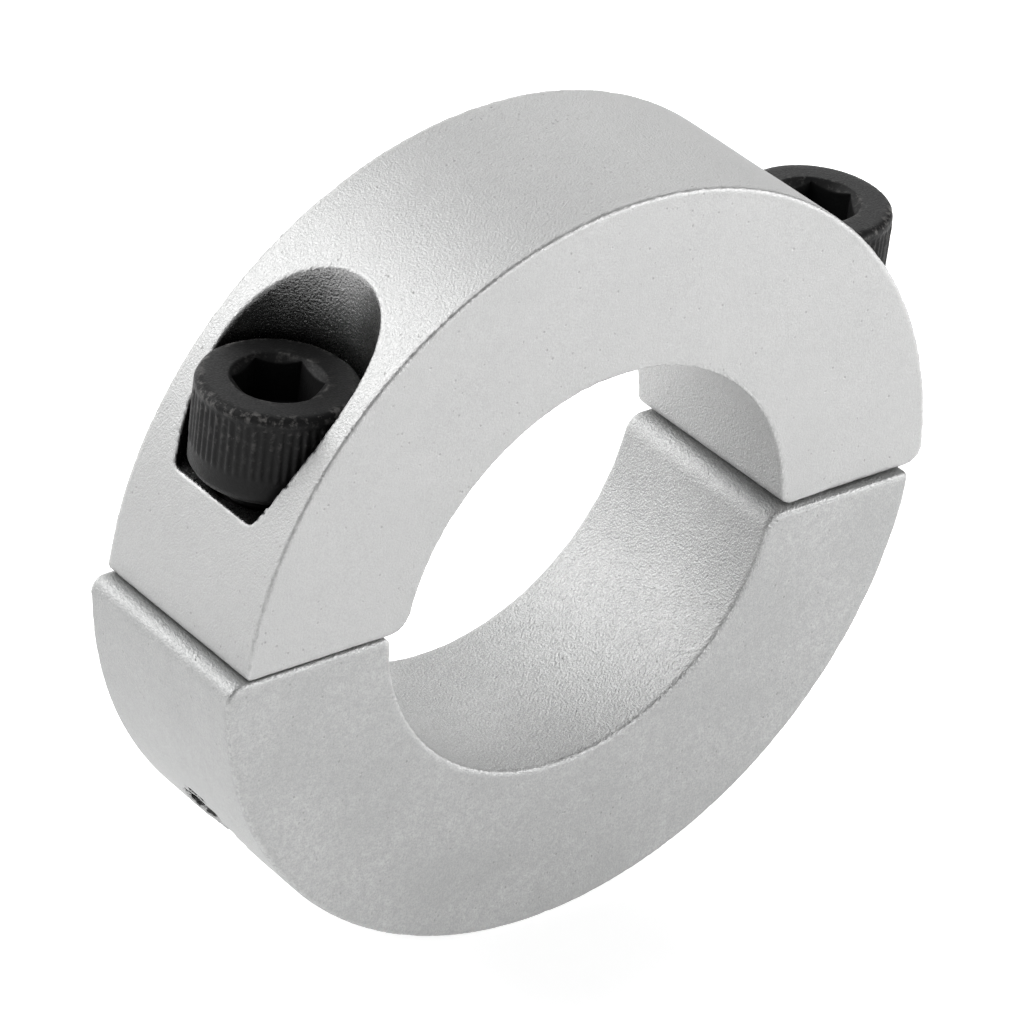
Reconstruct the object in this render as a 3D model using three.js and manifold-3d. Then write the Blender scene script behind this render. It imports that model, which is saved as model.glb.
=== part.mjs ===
// A two-piece clamp-on shaft collar for a 25 mm shaft, in millimetres.
//
// Frame: +Z runs up along the two clamping screws, Y is the bore axis and X runs along the split.
// The origin is on the bore axis of the tapped half, midway between the two split faces.
// The collar is drawn off its shaft, so the halves rest together and the saw kerf is closed. The
// tapped holes lie off the centre of their half, so the two halves stand stepped against each other
// and turned a little.

import * as THREE from "three";
import { mergeVertices } from "three/addons/utils/BufferGeometryUtils.js";
import Module from "manifold-3d";

// Ring
const boreRadius = 12.5;
const outerRadius = 22.5;
const ringWidth = 12;
const kerf = 2.2;               // removed by the saw, so each split face is kerf / 2 from the ring's centre
const closedGap = 0.15;         // between the split faces as drawn
const edgeRounding = 0.3;       // where the faces meet the outside and the bore
const outerArcSteps = 60;
const boreArcSteps = 44;
const cornerSteps = 4;

// Tumbling rounds each corner differently, where a split face meets the outside or the bore.
const clearanceCorners = { outerLeft: 0.4, boreLeft: 1, boreRight: 0.7, outerRight: 1.1 };
const tappedCorners = { outerLeft: 1, boreLeft: 0.4, boreRight: 1, outerRight: 0.5 };

// Screw holes
const screwOffset = 17.5;       // from the bore axis to each screw's axis
const counterboreRadius = 4.6;
const seatHeight = 7.05;        // from the upper half's split face to the screw seats
const clearanceRadius = 2.95;
const holeSides = 48;

// How far the tapped holes, and with them the screws and the upper half, are shifted off the tapped
// half's centre and turned about it. Zero makes a matched pair.
const holeShift = { x: 1.04, y: 0.24 };
const holeTwist = THREE.MathUtils.degToRad(0.59);

// Thread, M5 x 0.8
const pitch = 0.8;
const threadMajorRadius = 2.46;
const threadMinorRadius = 2.02;
const threadClearance = 0.1;    // added to the tapped hole's radii and taken from its ridges
const threadSides = 16;
const crestWidth = 0.1;         // flat of the screw's ridge, along the axis
const rootWidth = 0.2;          // flat between the screw's ridges

// Socket head cap screws, M5 x 16
const headRadius = 4.2;
const headHeight = 5;
const topChamfer = { width: 0.2, height: 0.4 };
const underChamfer = { width: 0.3, height: 0.4 };
const shankLength = 16;
const tipChamfer = 0.5;
const underheadRelief = 0.8;    // plain length below the head
const socketAcrossFlats = 4;
const socketDepth = 2.5;
const socketMouthRadius = 2.5;
const socketMouthDepth = 0.35;
const headSides = 48;
const headGap = { left: 0.85, right: 2.15 };      // from seat to head: both screws are backed off
const socketTurn = { left: 24, right: -5 };       // degrees, of a socket's first corner from +X

const overlap = 1;              // how far a cutting solid runs past the face that it cuts

const wasm = await Module();
wasm.setup();

// A closed mesh becomes a solid that can be joined and cut.
function solidOf(geometry) {
  const bare = new THREE.BufferGeometry();
  bare.setAttribute("position", geometry.getAttribute("position"));
  if (geometry.index) bare.setIndex(geometry.index);
  const merged = mergeVertices(bare);
  return new wasm.Manifold(new wasm.Mesh({
    numProp: 3,
    vertProperties: Float32Array.from(merged.getAttribute("position").array),
    triVerts: Uint32Array.from(merged.index.array),
  }));
}

function geometryOf(solid) {
  const mesh = solid.getMesh();
  const geometry = new THREE.BufferGeometry();
  geometry.setAttribute("position", new THREE.BufferAttribute(Float32Array.from(mesh.vertProperties), 3));
  geometry.setIndex(new THREE.BufferAttribute(Uint32Array.from(mesh.triVerts), 1));
  geometry.computeVertexNormals();
  return geometry;
}

// An upright round bar between two heights, whose flats lie on the stated radius.
function uprightBar(radius, bottom, top, sides) {
  const bar = new THREE.CylinderGeometry(radius, radius, top - bottom, sides);
  bar.scale(1 / Math.cos(Math.PI / sides), 1, 1 / Math.cos(Math.PI / sides));
  bar.rotateX(Math.PI / 2);
  bar.translate(0, 0, (top + bottom) / 2);
  return bar;
}

function arcPoints(x, z, radius, from, to, steps) {
  return Array.from({ length: steps + 1 }, (_, i) => {
    const angle = from + (to - from) * i / steps;
    return new THREE.Vector2(x + radius * Math.cos(angle), z + radius * Math.sin(angle));
  });
}

// The rounded corner on the +X side of a half whose split face is at height 0: its radius, its arc's
// centre, and the angle, seen from the ring's centre, where it runs into the outside or the bore.
function outerCorner(radius) {
  const rise = radius + kerf / 2;
  const x = Math.sqrt((outerRadius - radius) ** 2 - rise ** 2);
  return { radius, x, angle: Math.atan2(rise, x) };
}

function boreCorner(radius) {
  const rise = radius + kerf / 2;
  const x = Math.sqrt((boreRadius + radius) ** 2 - rise ** 2);
  return { radius, x, angle: Math.atan2(rise, x) };
}

// The outline of the half that lies above its split face, seen along the bore. The ring's centre is
// kerf / 2 below that face, and the face is at height 0.
function halfOutline(corners) {
  const centre = -kerf / 2;
  const [outerRight, outerLeft] = [outerCorner(corners.outerRight), outerCorner(corners.outerLeft)];
  const [boreRight, boreLeft] = [boreCorner(corners.boreRight), boreCorner(corners.boreLeft)];
  const corner = ({ radius }, x, from, to) => arcPoints(x, radius, radius, from, to, cornerSteps);
  const { PI } = Math;
  return [
    ...corner(outerRight, outerRight.x, -PI / 2, outerRight.angle),
    ...arcPoints(0, centre, outerRadius, outerRight.angle, PI - outerLeft.angle, outerArcSteps).slice(1, -1),
    ...corner(outerLeft, -outerLeft.x, PI - outerLeft.angle, PI * 1.5),
    ...corner(boreLeft, -boreLeft.x, -PI / 2, -boreLeft.angle),
    ...arcPoints(0, centre, boreRadius, PI - boreLeft.angle, boreRight.angle, boreArcSteps).slice(1, -1),
    ...corner(boreRight, boreRight.x, PI + boreRight.angle, PI * 1.5),
  ];
}

// Half a ring above the plane Z = 0, with rounded edges on both faces.
function halfRing(corners) {
  const ring = new THREE.ExtrudeGeometry(new THREE.Shape(halfOutline(corners)), {
    depth: ringWidth - 2 * edgeRounding,
    bevelEnabled: true,
    bevelThickness: edgeRounding,
    bevelSize: edgeRounding,
    bevelOffset: -edgeRounding,
    bevelSegments: 2,
  });
  ring.rotateX(Math.PI / 2);
  ring.translate(0, ringWidth / 2 - edgeRounding, 0);
  return ring;
}

// A right-handed threaded bar round the Z axis. Its ridge crosses Z = 0 on the +X side, so two bars
// made by this function on one axis are in mesh. spread widens each ridge, for a tapped hole.
function threadedBar(minor, major, spread, bottom, top) {
  const crest = (crestWidth + spread) / 2;
  const foot = (pitch - rootWidth + spread) / 2;
  const ridge = [[-foot, minor], [-crest, major], [crest, major], [foot, minor]];
  const firstTurn = Math.floor(bottom / pitch) - 1;
  const steps = (Math.ceil(top / pitch) + 1 - firstTurn) * threadSides;
  const positions = [];
  const addPoint = (step, offset, radius) => {
    const angle = 2 * Math.PI * step / threadSides;
    const height = (firstTurn + step / threadSides) * pitch + offset;
    positions.push(radius * Math.cos(angle), radius * Math.sin(angle), height);
  };
  for (let step = 0; step <= steps; step++) {
    for (const [offset, radius] of ridge) addPoint(step, offset, radius);
  }
  const extra = positions.length / 3;
  for (let step = steps - threadSides + 1; step <= steps; step++) addPoint(step + threadSides, -foot, minor);
  const vertex = (step, column) => {
    if (column < ridge.length) return step * ridge.length + column;
    const next = step + threadSides;
    return next <= steps ? next * ridge.length : extra + next - steps - 1;
  };
  const faces = [];
  for (let step = 0; step < steps; step++) {
    for (let column = 0; column < ridge.length; column++) {
      const [a, b] = [vertex(step, column), vertex(step + 1, column)];
      const [c, d] = [vertex(step + 1, column + 1), vertex(step, column + 1)];
      faces.push(a, b, c, a, c, d);
    }
  }
  // Both ends are closed by a fan from a point on the axis.
  const lowLoop = [];
  for (let step = 0; step <= threadSides; step++) lowLoop.push(vertex(step, 0));
  for (let column = ridge.length - 1; column > 0; column--) lowLoop.push(vertex(0, column));
  const highLoop = [];
  for (let step = steps - threadSides; step <= steps; step++) highLoop.push(vertex(step, ridge.length));
  for (let column = ridge.length - 1; column > 0; column--) highLoop.push(vertex(steps, column));
  const lowCentre = positions.length / 3;
  positions.push(0, 0, (firstTurn + 0.5) * pitch);
  positions.push(0, 0, (firstTurn + steps / threadSides + 0.5) * pitch);
  lowLoop.forEach((point, i) => faces.push(lowCentre, lowLoop[(i + 1) % lowLoop.length], point));
  highLoop.forEach((point, i) => faces.push(lowCentre + 1, point, highLoop[(i + 1) % highLoop.length]));
  const bar = new THREE.BufferGeometry();
  bar.setAttribute("position", new THREE.Float32BufferAttribute(positions, 3));
  bar.setIndex(faces);
  return bar;
}

function turnedBody(profile, sides) {
  const outline = profile.map(([radius, height]) => new THREE.Vector2(radius, height));
  const body = new THREE.LatheGeometry(outline, sides);
  body.rotateX(Math.PI / 2);
  return body;
}

// The half that holds the screw heads: two round pockets that break out through the outside, each
// with a flat seat and a clearance hole down to the split face.
function clearanceHalf() {
  let half = solidOf(halfRing(clearanceCorners));
  for (const x of [-screwOffset, screwOffset]) {
    const pocket = uprightBar(counterboreRadius, seatHeight, outerRadius + overlap, holeSides);
    const hole = uprightBar(clearanceRadius, -overlap, seatHeight + overlap, holeSides);
    half = half.subtract(solidOf(pocket.translate(x, 0, 0)));
    half = half.subtract(solidOf(hole.translate(x, 0, 0)));
  }
  return geometryOf(half);
}

// Where a screw's axis passes, on the left (-1) or the right (1) of the bore.
function holeCentre(side) {
  return {
    x: holeShift.x + side * screwOffset * Math.cos(holeTwist),
    y: holeShift.y + side * screwOffset * Math.sin(holeTwist),
  };
}

// The half that the screws bite into: its tapped holes run from the split face out through the rim.
// Its threads are placed in the collar's own frame, to mesh with the screws.
function tappedHalf() {
  const ring = halfRing(tappedCorners);
  ring.rotateX(Math.PI);
  ring.translate(0, 0, -closedGap / 2);
  let half = solidOf(ring);
  for (const { x, y } of [holeCentre(-1), holeCentre(1)]) {
    const hole = threadedBar(threadMinorRadius + threadClearance, threadMajorRadius + threadClearance,
      2 * threadClearance, -outerRadius, overlap);
    half = half.subtract(solidOf(hole.translate(x, y, 0)));
  }
  return geometryOf(half);
}

// A cap screw whose head stands gap above its seat, drawn round its own axis at the collar's heights.
function capScrew(gap, turn) {
  const under = closedGap / 2 + seatHeight + gap;
  const top = under + headHeight;
  const tip = under - shankLength;
  const head = turnedBody([
    [0, under],
    [headRadius - underChamfer.width, under],
    [headRadius, under + underChamfer.height],
    [headRadius, top - topChamfer.height],
    [headRadius - topChamfer.width, top],
    [0, top],
  ], headSides);
  const envelope = turnedBody([
    [0, tip],
    [threadMajorRadius - tipChamfer, tip],
    [threadMajorRadius + overlap, tip + tipChamfer + overlap],
    [threadMajorRadius + overlap, under - underheadRelief],
    [0, under - underheadRelief],
  ], headSides);
  const neck = uprightBar(threadMinorRadius, under - 2 * underheadRelief, under + overlap, threadSides);
  const socketRadius = socketAcrossFlats / Math.sqrt(3);
  const socket = new THREE.CylinderGeometry(socketRadius, socketRadius, socketDepth + overlap, 6);
  socket.rotateX(Math.PI / 2);
  socket.rotateZ(THREE.MathUtils.degToRad(turn + 90));
  socket.translate(0, 0, top - (socketDepth - overlap) / 2);
  const mouth = turnedBody([
    [0, top - socketMouthRadius],
    [socketMouthRadius - socketMouthDepth, top - socketMouthDepth],
    [socketMouthRadius, top],
    [socketMouthRadius, top + overlap],
    [0, top + overlap],
  ], headSides);
  const shank = solidOf(threadedBar(threadMinorRadius, threadMajorRadius, 0, tip, under));
  return geometryOf(shank.intersect(solidOf(envelope))
    .add(solidOf(neck))
    .add(solidOf(head))
    .subtract(solidOf(socket))
    .subtract(solidOf(mouth)));
}

const bareAluminium = { color: 0xc9cbca, roughness: 0.5, metalness: 0.9 };
const blackOxide = { color: 0x262729, roughness: 0.45, metalness: 0.6 };

function piece(name, geometry, look, x, y, z) {
  const mesh = new THREE.Mesh(geometry, new THREE.MeshStandardMaterial(look));
  mesh.name = name;
  mesh.position.set(x, y, z);
  return mesh;
}

const { x, y } = holeShift;
const upperHalf = piece("clearance_half", clearanceHalf(), bareAluminium, x, y, closedGap / 2);
upperHalf.rotation.z = holeTwist;
const left = holeCentre(-1);
const right = holeCentre(1);
const collar = new THREE.Group();
collar.add(
  piece("tapped_half", tappedHalf(), bareAluminium, 0, 0, 0),
  upperHalf,
  piece("left_clamp_screw", capScrew(headGap.left, socketTurn.left), blackOxide, left.x, left.y, 0),
  piece("right_clamp_screw", capScrew(headGap.right, socketTurn.right), blackOxide, right.x, right.y, 0),
);

export default collar;
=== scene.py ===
import itertools
import math

import bpy
import numpy as np
from mathutils import Matrix, Vector


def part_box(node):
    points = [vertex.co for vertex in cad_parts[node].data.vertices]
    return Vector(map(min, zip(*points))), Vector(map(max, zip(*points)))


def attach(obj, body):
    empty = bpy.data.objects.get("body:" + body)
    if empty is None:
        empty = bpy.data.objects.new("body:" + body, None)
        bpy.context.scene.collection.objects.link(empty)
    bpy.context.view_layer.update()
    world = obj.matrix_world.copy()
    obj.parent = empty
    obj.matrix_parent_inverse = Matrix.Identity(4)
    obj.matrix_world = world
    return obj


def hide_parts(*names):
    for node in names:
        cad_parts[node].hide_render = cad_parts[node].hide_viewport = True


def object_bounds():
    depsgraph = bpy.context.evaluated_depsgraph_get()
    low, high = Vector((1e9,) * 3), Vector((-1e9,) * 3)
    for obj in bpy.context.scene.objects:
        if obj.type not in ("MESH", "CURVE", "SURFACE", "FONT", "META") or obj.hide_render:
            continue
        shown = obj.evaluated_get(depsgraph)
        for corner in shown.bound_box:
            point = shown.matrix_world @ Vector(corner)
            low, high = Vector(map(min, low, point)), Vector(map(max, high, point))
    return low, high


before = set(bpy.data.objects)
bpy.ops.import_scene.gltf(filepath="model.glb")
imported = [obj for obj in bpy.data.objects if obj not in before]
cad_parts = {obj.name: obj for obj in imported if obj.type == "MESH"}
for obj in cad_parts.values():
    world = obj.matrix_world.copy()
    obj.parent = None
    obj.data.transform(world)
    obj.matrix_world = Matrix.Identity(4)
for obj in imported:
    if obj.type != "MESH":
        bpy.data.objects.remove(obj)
cad_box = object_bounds()

MM = 0.001

# Ring
BORE_RADIUS = 12.5
OUTER_RADIUS = 22.5
HALF_WIDTH = 6.0
HALF_KERF = 1.1              # from a split face to the centre of its half's arcs
SPLIT_GAP = 0.15             # between the halves' nominal split faces at rest
SPLIT_BULGE = 0.045          # how far each split face stands into that gap, before SKIN takes some back
SKIN = 0.02                  # how far the halves' whole surface lies inside its nominal place
CLEARANCE_CORNERS = {"outer_left": 0.4, "bore_left": 1.0, "bore_right": 0.7, "outer_right": 1.1}
TAPPED_CORNERS = {"outer_left": 1.0, "bore_left": 0.4, "bore_right": 1.0, "outer_right": 0.5}
# Where the two faces meet the outside and the bore, and along the two ends of the split
CLEARANCE_RIMS = {"round": 0.15, "split_left": 0.06, "split_right": 0.12}
TAPPED_RIMS = {"round": 0.28, "split_left": 0.06, "split_right": 0.36}
# How the tapped holes and all above them are shifted off the tapped half's centre and turned about it
HOLE_SHIFT = (1.04, 0.24)
HOLE_TWIST = math.radians(0.59)

# Holes
SCREW_OFFSET = 17.5
POCKET_RADIUS = 4.6
SEAT_HEIGHT = 7.05           # above the upper half's split face
CLEARANCE_RADIUS = 2.95
POCKET_EDGE = 0.14
POCKET_FILLET = 0.25
HOLE_EDGE = 0.18

# Thread, M5 x 0.8. A ridge crosses Z = 0 on the +X side of each axis.
PITCH = 0.8
SCREW_THREAD = {"major": 2.46, "minor": 2.02, "crest": 0.05, "foot": 0.3}
HOLE_THREAD = {"major": 2.56, "minor": 2.12, "crest": 0.15, "foot": 0.4}

# Screws
HEAD_RADIUS = 4.2
HEAD_HEIGHT = 5.0
SHANK_LENGTH = 16.0
KNURLS = 60
KNURL_SAMPLES = 6
KNURL_DEPTH = 0.11
PLAIN_BAND = 0.07            # how far the plain band below the knurling lies inside the head's radius
TIP_RADIUS = 1.96
RELIEF_RADIUS = 2.3          # of the plain neck between the thread and the head
NECK_FILLET = 0.2
SCREW_SEED = {"left": 3, "right": 4}
SOCKET_ACROSS_FLATS = 4.0
SOCKET_DEPTH = 2.5
SOCKET_MOUTH = 2.42          # radius
MOUTH_SLOPE = 0.75           # fall of the countersink for each millimetre inwards
# The head's rounded upper rim: height from its top, distance in from its radius, and wear
HEAD_RIM = (
    (-0.5, 0.05, 0.2),
    (-0.36, 0.06, 0.5),
    (-0.25, 0.09, 0.9),
    (-0.14, 0.17, 1.0),
    (-0.06, 0.28, 0.9),
    (-0.015, 0.42, 0.5),
    (0.0, 0.6, 0.1),
    (0.0, 0.9, 0.0),
)
HEAD_GAP = {"left": 0.85, "right": 2.15}      # from the seat to the underside of the head
SOCKET_TURN = {"left": 24.0, "right": -5.0}   # degrees

GRID_STEP = 0.195            # keeps each half under 200,000 triangles

# Finish. Grain is how deep the tumbled grain is, as a share of the bore's.
FACE_GRAIN = 0.2
# Mottling also scales the painted shade on a half's outside.
UPPER_FINISH = {"outside_grain": 0.5, "seed": 2.0, "tone": 0.445, "mottling_and_shade": 0.3}
LOWER_FINISH = {"outside_grain": 0.6, "seed": 17.0, "tone": 0.445, "mottling_and_shade": 1.0}
RIM_WEAR = 0.01              # taken off a half's sharpest edges everywhere
RIM_NICKS = 0.055            # taken off them further here and there, up to twice this
WAVES = 0.005                # taken off a half's whole surface unevenly, up to twice this
SCREW_WEAR = 0.05

# Studio. Lights have a direction to them, then metres away, metres across and watts.
LIGHTS = {
    "key": ((-0.5, 0.62, 0.6), 0.6, 0.5, 4.1),
    "back": ((0.3, 1.0, 0.45), 0.7, 1.0, 2.5),
    "back_right": ((0.6, 0.6, 0.5), 0.6, 0.4, 0.85),
    "front_right": ((0.7, -0.7, 0.12), 0.6, 0.4, 3.6),
    "rim": ((0.58, -0.49, 0.61), 0.6, 0.25, 0.2),
}
WORLD_LIGHT = 0.15
FLOOR_GLOW = 0.6             # a light table's own light, which keeps the shadows faint
FLOOR_REACH = 2.0            # metres from the middle to each side
FLOOR_DROP = 0.0001          # metres below the collar's lowest point

# View
VIEW_AZIMUTH = -41.88        # degrees; 0 looks along +Y
VIEW_ELEVATION = 30.92
VIEW_ROLL = 7.43
VIEW_DISTANCE = 289.8
VIEW_LENS = 196.6            # on a 36 mm wide sensor
AIM = (-0.45, 0.33)          # where the view's middle passes the origin, to its right and above it
FRAME_SHIFT = (-0.5, -0.03)  # the collar's place along X and Y in the view


# ---------------------------------------------------------------------------- distance fields

def rounded(a, b, radius):
    """The part common to two solids, with the edge between them rounded."""
    core = np.minimum(np.maximum(a, b), -radius)
    return core + np.hypot(np.maximum(a + radius, 0), np.maximum(b + radius, 0))


class Solid:
    """A field of distances, negative inside.

    It also knows how near each place is to a sharp edge, and to the wall of a hole, 0 to 1.
    """

    def __init__(self, field):
        self.field = field
        self.edge = np.zeros_like(field)
        self.hole = np.zeros_like(field)

    def trim(self, other, radius, reach=0.45):
        """Keeps what is also inside another field."""
        near = 1 - np.maximum(-self.field, -other) / reach
        self.edge = np.maximum(self.edge, np.clip(near, 0, 1))
        self.field = rounded(self.field, other, radius)

    def drill(self, hole, radius):
        """Cuts away what is inside another field, and marks the new wall."""
        self.hole = np.maximum(self.hole, np.clip(1 - np.abs(hole) / 0.1, 0, 1))
        self.trim(-hole, radius, 0.3)


def half_ring(x, y, z, corners, rims):
    """Half a ring above the plane z = 0, whose arcs are centred below that plane."""
    from_axis = np.hypot(x, z + HALF_KERF)
    z = z + SPLIT_BULGE
    near_split = np.clip(1.6 - z, 0, 1)
    split_rim = np.where(x > 0, rims["split_right"], rims["split_left"])
    outside = Solid(-z)
    outside.trim(from_axis - OUTER_RADIUS, np.where(x > 0, corners["outer_right"], corners["outer_left"]))
    bore = Solid(-z)
    bore.trim(BORE_RADIUS - from_axis, np.where(x > 0, corners["bore_right"], corners["bore_left"]))
    ring = Solid(np.maximum(outside.field, bore.field))
    ring.edge = np.maximum(outside.edge, bore.edge)
    ring.trim(np.abs(y) - HALF_WIDTH, rims["round"] + near_split * (split_rim - rims["round"]))
    return ring


def hole_centre(side):
    """Where a screw's axis passes, on the left (-1) or the right (1) of the bore."""
    return (HOLE_SHIFT[0] + side * SCREW_OFFSET * math.cos(HOLE_TWIST),
            HOLE_SHIFT[1] + side * SCREW_OFFSET * math.sin(HOLE_TWIST))


def clearance_half(x, y, z):
    across, along = x - HOLE_SHIFT[0], y - HOLE_SHIFT[1]
    x = across * math.cos(HOLE_TWIST) + along * math.sin(HOLE_TWIST)
    y = along * math.cos(HOLE_TWIST) - across * math.sin(HOLE_TWIST)
    z = z - SPLIT_GAP / 2
    half = half_ring(x, y, z, CLEARANCE_CORNERS, CLEARANCE_RIMS)
    for side in (-1, 1):
        from_screw = np.hypot(x - side * SCREW_OFFSET, y)
        pocket = rounded(from_screw - POCKET_RADIUS, SEAT_HEIGHT - z, POCKET_FILLET)
        half.drill(pocket, POCKET_EDGE)
        half.drill(from_screw - CLEARANCE_RADIUS, HOLE_EDGE)
    return half


def thread_radius(thread, angle, z):
    """The radius of a right-hand thread at an angle round its axis and a height."""
    turns = (z - PITCH * angle / (2 * math.pi)) / PITCH
    from_ridge = np.abs(turns - np.round(turns)) * PITCH
    return np.interp(from_ridge, (thread["crest"], thread["foot"]), (thread["major"], thread["minor"]))


def tapped_half(x, y, z):
    half = half_ring(x, y, -z - SPLIT_GAP / 2, TAPPED_CORNERS, TAPPED_RIMS)
    for side in (-1, 1):
        centre = hole_centre(side)
        across, along = x - centre[0], y - centre[1]
        from_screw = np.hypot(across, along)
        thread = thread_radius(HOLE_THREAD, np.arctan2(along, across), z)
        half.drill(0.6 * (from_screw - thread), 0.1)
    return half


# ---------------------------------------------------------------------------- from field to mesh

def grid(low, high):
    axes = [np.arange(a - 2 * GRID_STEP, b + 3 * GRID_STEP, GRID_STEP) for a, b in zip(low, high)]
    return axes, np.meshgrid(*axes, indexing="ij")


def surface_net(field):
    """Vertices, in grid steps, and quads of the surface where a sampled field is zero."""
    inside = field < 0
    cells = [n - 1 for n in field.shape]
    filled = np.zeros(cells, dtype=np.int8)
    for corner in itertools.product((0, 1), repeat=3):
        filled += inside[tuple(slice(c, c + n) for c, n in zip(corner, cells))]
    crossed = (filled > 0) & (filled < 8)
    number = np.full(cells, -1)
    number[crossed] = np.arange(crossed.sum())
    cell = np.argwhere(crossed)
    total = np.zeros(cell.shape)
    hits = np.zeros(len(cell))
    quads = []
    for axis in range(3):
        along = np.eye(3, dtype=int)[axis]
        u, v = np.eye(3, dtype=int)[(axis + 1) % 3], np.eye(3, dtype=int)[(axis + 2) % 3]
        for du, dv in itertools.product((0, 1), repeat=2):
            start = cell + du * u + dv * v
            a = field[tuple(start.T)]
            b = field[tuple((start + along).T)]
            cuts = (a < 0) != (b < 0)
            share = np.where(cuts, a / np.where(cuts, a - b, 1), 0)
            total += cuts[:, None] * (start + share[:, None] * along)
            hits += cuts
        near = np.take(inside, range(field.shape[axis] - 1), axis)
        far = np.take(inside, range(1, field.shape[axis]), axis)
        edge = np.argwhere(near != far)
        ring = [number[tuple((edge - du * u - dv * v).T)] for du, dv in ((0, 0), (1, 0), (1, 1), (0, 1))]
        quad = np.stack(ring, 1)
        leaving = near[tuple(edge.T)]
        quads.append(np.where(leaving[:, None], quad, quad[:, ::-1]))
    return total / hits[:, None], np.concatenate(quads)


def gradient(shape, points, reach=0.01):
    out = np.zeros(points.shape)
    for axis in range(3):
        step = np.eye(3)[axis] * reach
        out[:, axis] = shape(*(points + step).T).field - shape(*(points - step).T).field
    return out / (2 * reach)


def spread(points, quads):
    """Each point moved to the middle of the quads round it."""
    middle = points[quads].mean(axis=1)
    count = np.bincount(quads.ravel(), minlength=len(points))
    sums = [np.bincount(quads.ravel(), np.repeat(middle[:, i], 4), len(points)) for i in range(3)]
    return np.stack(sums, 1) / count[:, None]


def skin_of(shape, low, high):
    """The surface of a shape as points that lie on it exactly, quads and outward normals."""
    axes, places = grid(low, high)
    points, quads = surface_net(shape(*places).field)
    points = np.array([a[0] for a in axes]) + points * GRID_STEP
    for relax in (0.6, 0.6, 0.4, 0.2, 0):
        points = points + relax * (spread(points, quads) - points)
        slope = gradient(shape, points)
        value = shape(*points.T).field + SKIN
        points = points - slope * (value / (slope ** 2).sum(axis=1))[:, None]
    slope = gradient(shape, points)
    return points, quads, slope / np.linalg.norm(slope, axis=1)[:, None]


LATTICE = np.random.default_rng(11).random((48, 48, 48))


def noise(points, size, shift=0.0):
    """Smooth noise from -1 to 1 whose lumps are about one size across."""
    place = points / size + shift
    cell = np.floor(place).astype(int)
    part = place - cell
    part = part * part * (3 - 2 * part)
    out = np.zeros(len(points))
    for corner in itertools.product((0, 1), repeat=3):
        weight = np.prod([part[:, i] if c else 1 - part[:, i] for i, c in enumerate(corner)], axis=0)
        out += weight * LATTICE[tuple(((cell + corner) % 48).T)]
    return 2 * out - 1


# ---------------------------------------------------------------------------- Blender objects

def mesh_object(name, points, faces, attributes):
    mesh = bpy.data.meshes.new(name)
    mesh.vertices.add(len(points))
    mesh.vertices.foreach_set("co", (points * MM).ravel())
    mesh.loops.add(faces.size)
    mesh.loops.foreach_set("vertex_index", faces.ravel())
    mesh.polygons.add(len(faces))
    mesh.polygons.foreach_set("loop_start", np.arange(len(faces)) * faces.shape[1])
    mesh.update(calc_edges=True)
    mesh.polygons.foreach_set("use_smooth", np.ones(len(faces), dtype=bool))
    for key, values in attributes.items():
        layer = mesh.attributes.new(key, "FLOAT", "POINT")
        layer.data.foreach_set("value", values.astype(np.float32))
    obj = bpy.data.objects.new(name, mesh)
    bpy.context.scene.collection.objects.link(obj)
    return obj


def make_half(name, shape, outside_grain, seed):
    """A half's worn surface, with where it is edge, face, hole wall and grain for its material."""
    low, high = (np.array(corner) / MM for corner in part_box(name))
    points, quads, normals = skin_of(shape, low, high)
    solid = shape(*points.T)
    edge = solid.edge
    wear = noise(points, 0.6, seed) + 0.8 * noise(points, 0.3, seed + 5)
    lumps = noise(points, 2.2, seed + 9)
    dent = edge ** 2 * (RIM_WEAR + RIM_NICKS * np.clip(wear, 0, 2)) + WAVES * (1 + lumps)
    points = points - normals * dent[:, None]
    in_bore = np.clip((BORE_RADIUS + OUTER_RADIUS) / 2 - np.hypot(points[:, 0], points[:, 2]), 0, 1)
    on_face = np.clip(np.abs(normals[:, 1]) * 4 - 3, 0, 1)
    grain = outside_grain + (1 - outside_grain) * in_bore
    grain = grain + on_face * (FACE_GRAIN - grain)
    attributes = {"edge": edge, "grain": grain, "face": on_face, "hole": solid.hole}
    return mesh_object(name + "_skin", points, quads, attributes)


# ---------------------------------------------------------------------------- screws

def hexagon(angle, turn):
    """The distance from its axis to the wall of a hexagonal socket that has a corner at turn degrees."""
    sector = math.pi / 3
    from_middle = (angle - math.radians(turn)) % sector - sector / 2
    return SOCKET_ACROSS_FLATS / 2 / np.cos(from_middle)


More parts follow.
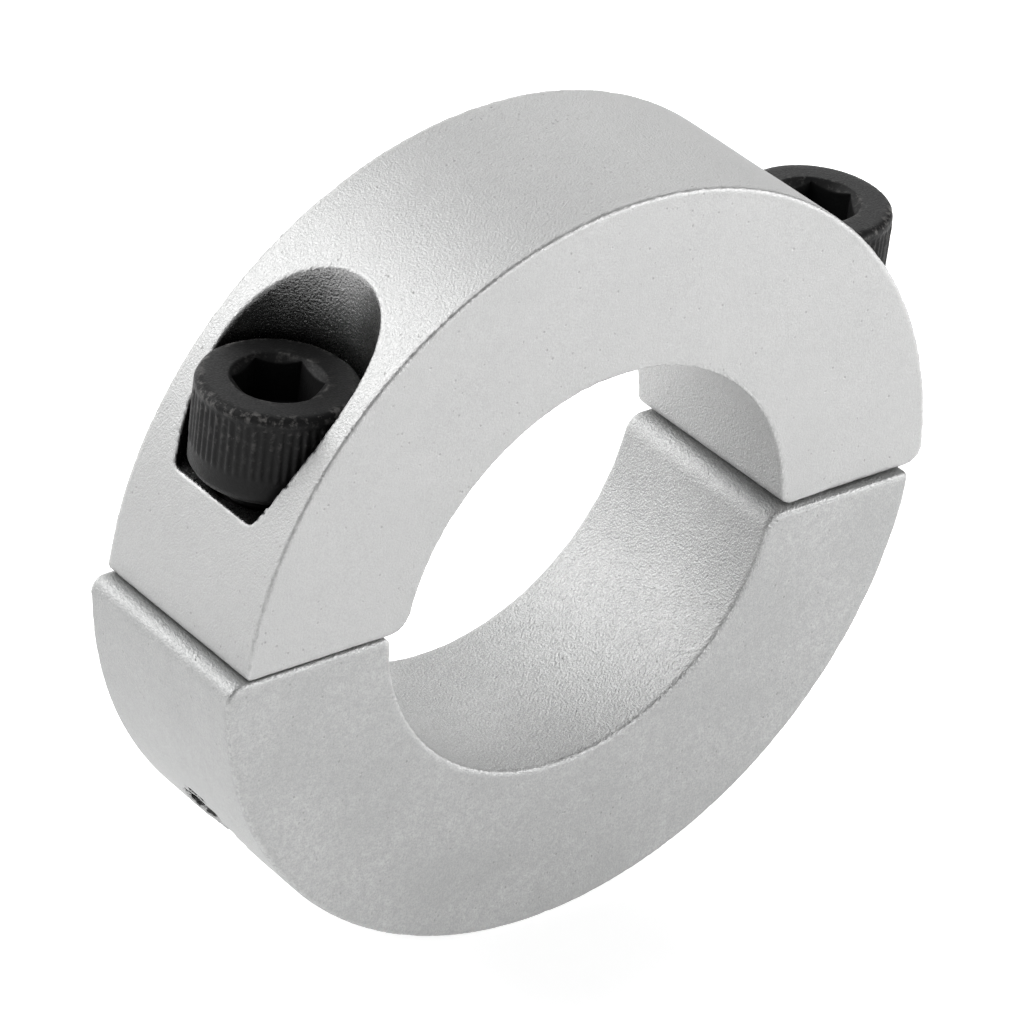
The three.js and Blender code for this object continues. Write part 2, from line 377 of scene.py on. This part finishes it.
def screw_rings(side):
    """A screw's rings from the tip up to the head, over the rim and down into the socket."""
    under = SPLIT_GAP / 2 + SEAT_HEIGHT + HEAD_GAP[side]
    top = under + HEAD_HEIGHT
    tip = under - SHANK_LENGTH
    count = KNURLS * KNURL_SAMPLES
    angle = np.arange(count) * 2 * math.pi / count + math.radians(SOCKET_TURN[side])
    ones = np.ones(count)
    uneven = np.random.default_rng(SCREW_SEED[side]).uniform(0.5, 1, KNURLS)
    ridge = (0.5 - 0.5 * np.cos((angle - angle[0]) * KNURLS)) * np.repeat(uneven, KNURL_SAMPLES)
    rings = []

    def ring(radius, height, edge=0.0):
        rings.append((radius * ones, height * ones, edge * ones))

    # Thread: the tip's cone and the run-out below the head trim the helix.
    for share in (0.25, 0.6, 0.9):
        ring(1.9 * share, tip)
    for height in np.arange(tip, under - 0.9, PITCH / 8):
        cone = TIP_RADIUS + (height - tip)
        radius = np.minimum(thread_radius(SCREW_THREAD, angle, height), cone)
        rings.append((radius, height * ones, 0 * ones))
    for share in np.linspace(0, 1, 5):
        height = under - 0.85 + 0.6 * share
        thread = thread_radius(SCREW_THREAD, angle, height)
        neck = thread + (RELIEF_RADIUS - thread) * min(1, 1.5 * share)
        rings.append((neck, height * ones, 0 * ones))
    for share in np.linspace(0, 1, 4):
        bend = share * math.pi / 2
        radius = RELIEF_RADIUS + NECK_FILLET * (1 - math.cos(bend))
        ring(radius, under - NECK_FILLET * (1 - math.sin(bend)))
    for radius in (3.0, 3.5, 3.8, 3.86):
        ring(radius, under)

    # Head: the bottom chamfer, a plain band, the knurling and the rounded rim.
    band = HEAD_RADIUS - PLAIN_BAND
    ring(3.9, under + 0.02)
    ring(4.05, under + 0.25)
    ring(band - 0.01, under + 0.36)
    for height in (0.45, 0.8, 1.1, 1.26):
        ring(band, under + height)
    knurl_low, knurl_high = under + 1.32, top - 0.55
    heights = np.concatenate([np.linspace(knurl_low, knurl_low + 0.3, 4),
                              np.linspace(knurl_low + 0.5, knurl_high - 0.4, 8),
                              np.linspace(knurl_high - 0.25, knurl_high, 4)])
    for height in heights:
        fade = min(1, (height - knurl_low) / 0.3, (knurl_high - height) / 0.25)
        radius = band + fade * (PLAIN_BAND - KNURL_DEPTH * (1 - ridge))
        rubbed = (height - knurl_low) / (knurl_high - knurl_low)
        rings.append((radius, height * ones, 0.7 * fade * rubbed * ridge))
    for height, inset, wear in HEAD_RIM:
        ring(HEAD_RADIUS - inset, top + height, wear)
    ring(2.95, top)
    ring(SOCKET_MOUTH + 0.12, top, 0.2)
    ring(SOCKET_MOUTH + 0.03, top - 0.01, 0.6)

    # Socket: a countersunk mouth, six walls and a drilled floor.
    wall = hexagon(angle, SOCKET_TURN[side])
    for share in (0.15, 0.5, 0.85):
        radius = SOCKET_MOUTH + share * (wall - SOCKET_MOUTH)
        height = top - 0.04 - share * (SOCKET_MOUTH - wall) * MOUTH_SLOPE
        rings.append((radius, height, 0.3 * ones))
    start = top - 0.06 - (SOCKET_MOUTH - wall) * MOUTH_SLOPE
    for share in (0.0, 0.04, 0.2, 0.4, 0.6, 0.8, 0.96, 1.0):
        rings.append((wall, start + share * (top - SOCKET_DEPTH - start), 0 * ones))
    for share in (0.9, 0.6, 0.3):
        ring(SOCKET_ACROSS_FLATS / 2 * share, top - SOCKET_DEPTH - 0.1 * (1 - share))
    return angle, rings


def make_screw(name, side, direction):
    """A closed screw: its rings joined by quads, with worn edges."""
    angle, rings = screw_rings(side)
    count = len(angle)
    radius, height, edge = (np.concatenate(part) for part in zip(*rings))
    turn = np.tile(angle, len(rings))
    centre = np.array([*hole_centre(direction), 0])
    points = centre + np.stack([radius * np.cos(turn), radius * np.sin(turn), height], 1)
    row = np.arange(count)
    following = (row + 1) % count
    bands = [np.stack([row, following, following + count, row + count], 1) + i * count
             for i in range(len(rings) - 1)]
    quads = np.concatenate(bands)
    ends = centre + np.array([[0, 0, rings[0][1][0]], [0, 0, rings[-1][1][0]]])
    low_centre = len(points)
    last = (len(rings) - 1) * count
    # Each end is closed by quads from the axis that span two steps of the ring.
    even = row[::2]
    low_fan = np.stack([np.full(len(even), low_centre), (even + 2) % count, even + 1, even], 1)
    high_fan = np.stack([np.full(len(even), low_centre + 1), last + even, last + even + 1,
                         last + (even + 2) % count], 1)
    points = np.concatenate([points, ends])
    edge = np.concatenate([edge, [0, 0]])
    worn = edge * np.clip(noise(points, 0.5, 3.3 * direction), 0, 1)
    radial = (points - centre) * (1, 1, 0)
    radial /= np.maximum(np.linalg.norm(radial, axis=1), 1)[:, None]
    points = points - radial * (SCREW_WEAR * worn)[:, None]
    return mesh_object(name + "_skin", points, np.concatenate([quads, low_fan, high_fan]), {"edge": edge})


# ---------------------------------------------------------------------------- materials

class Nodes:
    """A material's node tree, with short calls for the nodes that the finishes share."""

    def __init__(self, name):
        self.material = bpy.data.materials.new(name)
        self.material.use_nodes = True
        self.tree = self.material.node_tree
        self.tree.nodes.clear()
        output = self.add("ShaderNodeOutputMaterial")
        self.shader = self.add("ShaderNodeBsdfPrincipled")
        self.link(self.shader.outputs["BSDF"], output.inputs["Surface"])
        self.place = self.add("ShaderNodeTexCoord").outputs["Object"]

    def add(self, kind, **settings):
        node = self.tree.nodes.new(kind)
        for key, value in settings.items():
            setattr(node, key, value)
        return node

    def link(self, source, target):
        self.tree.links.new(source, target)

    def put(self, socket, value):
        if isinstance(value, bpy.types.NodeSocket):
            self.link(value, socket)
        else:
            socket.default_value = value

    def attribute(self, name):
        return self.add("ShaderNodeAttribute", attribute_name=name).outputs["Fac"]

    def noise(self, size, detail=2.0, roughness=0.5):
        """Noise whose lumps are about size millimetres across."""
        node = self.add("ShaderNodeTexNoise")
        self.link(self.place, node.inputs["Vector"])
        node.inputs["Scale"].default_value = 1 / (size * MM)
        node.inputs["Detail"].default_value = detail
        node.inputs["Roughness"].default_value = roughness
        return node.outputs["Fac"]

    def cells(self, size, randomness=1.0):
        """The distance from the middle of the nearest cell, in cells of about size millimetres."""
        node = self.add("ShaderNodeTexVoronoi")
        self.link(self.place, node.inputs["Vector"])
        node.inputs["Scale"].default_value = 1 / (size * MM)
        node.inputs["Randomness"].default_value = randomness
        return node.outputs["Distance"]

    def math(self, operation, a, b=0.0, clamp=False):
        node = self.add("ShaderNodeMath", operation=operation, use_clamp=clamp)
        self.put(node.inputs[0], a)
        self.put(node.inputs[1], b)
        return node.outputs[0]

    def scale(self, value, low, high, new_low, new_high):
        """Maps one range to another and holds the result inside it."""
        node = self.add("ShaderNodeMapRange")
        for socket, number in zip(node.inputs, (value, low, high, new_low, new_high)):
            self.put(socket, number)
        return node.outputs["Result"]

    def blend(self, share, first, second):
        node = self.add("ShaderNodeMix", data_type="RGBA")
        self.put(node.inputs["Factor"], share)
        for socket, colour in ((node.inputs[6], first), (node.inputs[7], second)):
            self.put(socket, (*colour, 1.0) if isinstance(colour, tuple) else colour)
        return node.outputs[2]

    def bump(self, height, distance, under=None):
        node = self.add("ShaderNodeBump")
        node.inputs["Strength"].default_value = 1.0
        node.inputs["Distance"].default_value = distance * MM
        self.link(height, node.inputs["Height"])
        if under is not None:
            self.link(under, node.inputs["Normal"])
        return node.outputs["Normal"]


def tumbled_aluminium(name, tone, mottling_and_shade):
    """Bare aluminium from a vibratory tumbler: grainy in the bore, smoother outside and on the faces."""
    n = Nodes(name)
    edge = n.attribute("edge")
    face = n.attribute("face")
    depth = n.attribute("grain")
    hole = n.scale(n.attribute("hole"), 0.35, 0.65, 0.0, 1.0)
    grain = n.noise(0.13, 1.5, 0.55)
    speck = n.noise(0.07, 1.0, 0.5)
    fleck = n.noise(0.14, 2.0, 0.6)
    mottle = n.noise(0.6, 3.0, 0.65)
    stain = n.noise(5.0, 2.0, 0.5)
    rag = n.noise(0.22, 3.0, 0.7)
    pits = n.scale(n.cells(0.5), 0.06, 0.2, 1.0, 0.0)
    rare = n.scale(n.noise(0.8, 1.0), 0.5, 0.6, 0.0, 1.0)
    pits = n.math("MULTIPLY", pits, rare)
    light = tuple(tone * c for c in (1.0, 1.0, 0.997))
    dark = tuple(tone * (0.86 - 0.07 * mottling_and_shade) * c for c in (0.99, 1.0, 0.995))
    colour = n.blend(n.scale(stain, 0.35, 0.65, 0.0, 0.5 * mottling_and_shade), light, dark)
    colour = n.blend(n.scale(mottle, 0.4, 0.75, 0.0, 0.9 * mottling_and_shade), colour, dark)
    colour = n.blend(n.scale(fleck, 0.35, 0.7, 0.0, 0.9 * mottling_and_shade), colour, dark)
    # Painted shade darkens the outside of a mottled half, and painted glints brighten the bore. The depth
    # of grain tells them apart.
    outside = n.math("MULTIPLY", n.scale(depth, 0.35, 0.5, 0.0, 1.0), n.scale(depth, 0.85, 0.65, 0.0, 1.0))
    colour = n.blend(n.math("MULTIPLY", outside, 0.45 * mottling_and_shade), colour, dark)
    painted_glint = n.math("MULTIPLY", n.scale(speck, 0.5, 0.65, 0.0, 1.0), n.scale(depth, 0.6, 1.0, 0.0, 0.7))
    colour = n.blend(painted_glint, colour, tuple(1.4 * c for c in light))
    # Painted shade darkens the rare pits.
    colour = n.blend(n.math("MULTIPLY", pits, 0.35), colour, (0.2, 0.2, 0.19))
    # Along the rims a bright painted highlight borders a thin dark line, both of them ragged.
    painted_rim_highlight = n.math("MULTIPLY", n.scale(edge, 0.4, 0.7, 0.0, 1.0), n.scale(rag, 0.42, 0.55, 0.0, 0.5))
    colour = n.blend(painted_rim_highlight, colour, tuple(1.25 * c for c in light))
    line = n.math("MULTIPLY", n.scale(edge, 0.82, 0.95, 0.0, 1.0), n.scale(rag, 0.6, 0.42, 0.0, 0.8))
    colour = n.blend(n.math("MULTIPLY", line, face), colour, (0.12, 0.12, 0.115))
    # Painted shade darkens the walls of the pockets and holes.
    colour = n.blend(hole, colour, tuple(0.68 * c for c in light))
    n.link(colour, n.shader.inputs["Base Color"])
    n.shader.inputs["Metallic"].default_value = 1.0
    rough = n.scale(speck, 0.3, 0.7, 0.52, 0.66)
    n.link(n.math("SUBTRACT", rough, n.math("MULTIPLY", hole, 0.3)), n.shader.inputs["Roughness"])
    normal = n.bump(n.math("MULTIPLY", grain, depth), 0.07)
    normal = n.bump(n.math("MULTIPLY", speck, depth), 0.03, normal)
    normal = n.bump(n.math("MULTIPLY", pits, -1.0), 0.02, normal)
    normal = n.bump(n.math("MULTIPLY", rag, edge), 0.05, normal)
    n.link(normal, n.shader.inputs["Normal"])
    return n.material


def black_oxide(name):
    """Blackened steel, rubbed bright here and there along its edges."""
    n = Nodes(name)
    edge = n.attribute("edge")
    grain = n.noise(0.12, 2.0, 0.6)
    cloud = n.noise(1.6, 3.0, 0.6)
    rub = n.noise(0.4, 3.0, 0.65)
    worn = n.math("MULTIPLY", edge, n.scale(rub, 0.5, 0.66, 0.0, 1.0))
    scuff = n.scale(n.noise(0.3, 3.0, 0.7), 0.68, 0.76, 0.0, 0.35)
    patch = n.scale(n.noise(2.6, 1.0), 0.56, 0.64, 0.0, 1.0)
    worn = n.math("ADD", worn, n.math("MULTIPLY", scuff, patch), clamp=True)
    colour = n.blend(cloud, (0.008, 0.008, 0.0083), (0.015, 0.015, 0.015))
    colour = n.blend(n.math("MULTIPLY", worn, 0.7), colour, (0.16, 0.155, 0.15))
    n.link(colour, n.shader.inputs["Base Color"])
    n.shader.inputs["Metallic"].default_value = 0.0
    n.shader.inputs["Specular IOR Level"].default_value = 0.11
    n.link(n.scale(grain, 0.3, 0.7, 0.4, 0.58), n.shader.inputs["Roughness"])
    normal = n.bump(grain, 0.02)
    normal = n.bump(cloud, 0.03, normal)
    n.link(normal, n.shader.inputs["Normal"])
    return n.material


def floor_paper():
    n = Nodes("floor_paper")
    fibre = n.noise(0.6, 2.0)
    n.link(n.blend(fibre, (0.93, 0.93, 0.93), (0.95, 0.95, 0.95)), n.shader.inputs["Base Color"])
    n.shader.inputs["Roughness"].default_value = 0.9
    n.shader.inputs["Specular IOR Level"].default_value = 0.1
    n.shader.inputs["Emission Color"].default_value = (1.0, 1.0, 1.0, 1.0)
    n.shader.inputs["Emission Strength"].default_value = FLOOR_GLOW
    return n.material


# ---------------------------------------------------------------------------- the collar

def fit_piece(piece, node, body, material):
    piece.data.materials.append(material)
    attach(piece, body)
    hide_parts(node)


for name, shape, metal, finish in (
    ("clearance_half", clearance_half, "aluminium_upper", UPPER_FINISH),
    ("tapped_half", tapped_half, "aluminium_lower", LOWER_FINISH),
):
    half = make_half(name, shape, finish["outside_grain"], finish["seed"])
    fit_piece(half, name, name, tumbled_aluminium(metal, finish["tone"], finish["mottling_and_shade"]))
screw_finish = black_oxide("black_oxide")
for side, direction in (("left", -1), ("right", 1)):
    screw = make_screw(side + "_clamp_screw", side, direction)
    fit_piece(screw, side + "_clamp_screw", side + "_screw", screw_finish)


# ---------------------------------------------------------------------------- studio

def make_floor():
    low, _ = cad_box
    mesh = bpy.data.meshes.new("floor")
    corners = [(x * FLOOR_REACH, y * FLOOR_REACH) for x, y in ((-1, -1), (1, -1), (1, 1), (-1, 1))]
    mesh.from_pydata([(x, y, low.z - FLOOR_DROP) for x, y in corners], [], [(0, 1, 2, 3)])
    floor = bpy.data.objects.new("floor", mesh)
    bpy.context.scene.collection.objects.link(floor)
    mesh.materials.append(floor_paper())


def soft_box(name, direction, distance, size, power):
    """A square light that shines at the collar from a direction."""
    light = bpy.data.lights.new(name, "AREA")
    light.size = size
    light.energy = power
    lamp = bpy.data.objects.new(name, light)
    lamp.location = Vector(direction).normalized() * distance
    lamp.rotation_euler = Vector(direction).to_track_quat("Z", "Y").to_euler()
    bpy.context.scene.collection.objects.link(lamp)


def make_world():
    world = bpy.data.worlds.new("studio")
    world.use_nodes = True
    background = world.node_tree.nodes["Background"]
    background.inputs["Color"].default_value = (1.0, 1.0, 1.0, 1.0)
    background.inputs["Strength"].default_value = WORLD_LIGHT
    bpy.context.scene.world = world


def make_camera():
    azimuth, elevation, roll = (math.radians(a) for a in (VIEW_AZIMUTH, VIEW_ELEVATION, VIEW_ROLL))
    level = Vector((math.cos(azimuth), math.sin(azimuth), 0))
    back = Vector((math.sin(azimuth) * math.cos(elevation), -math.cos(azimuth) * math.cos(elevation),
                   math.sin(elevation)))
    upright = level.cross(-back)
    right = math.cos(roll) * level + math.sin(roll) * upright
    up = -math.sin(roll) * level + math.cos(roll) * upright
    place = back * VIEW_DISTANCE + right * AIM[0] + up * AIM[1] - Vector((*FRAME_SHIFT, 0))
    data = bpy.data.cameras.new("camera")
    data.lens = VIEW_LENS
    data.sensor_width = 36
    data.clip_start = 0.01
    data.clip_end = 10
    camera = bpy.data.objects.new("camera", data)
    axes = Matrix((right, up, back)).transposed().to_4x4()
    camera.matrix_world = Matrix.Translation(place * MM) @ axes
    bpy.context.scene.collection.objects.link(camera)
    bpy.context.scene.camera = camera


make_floor()
make_world()
for name, (direction, distance, size, power) in LIGHTS.items():
    soft_box(name, direction, distance, size, power)
make_camera()
bpy.context.scene.view_settings.view_transform = "Standard"
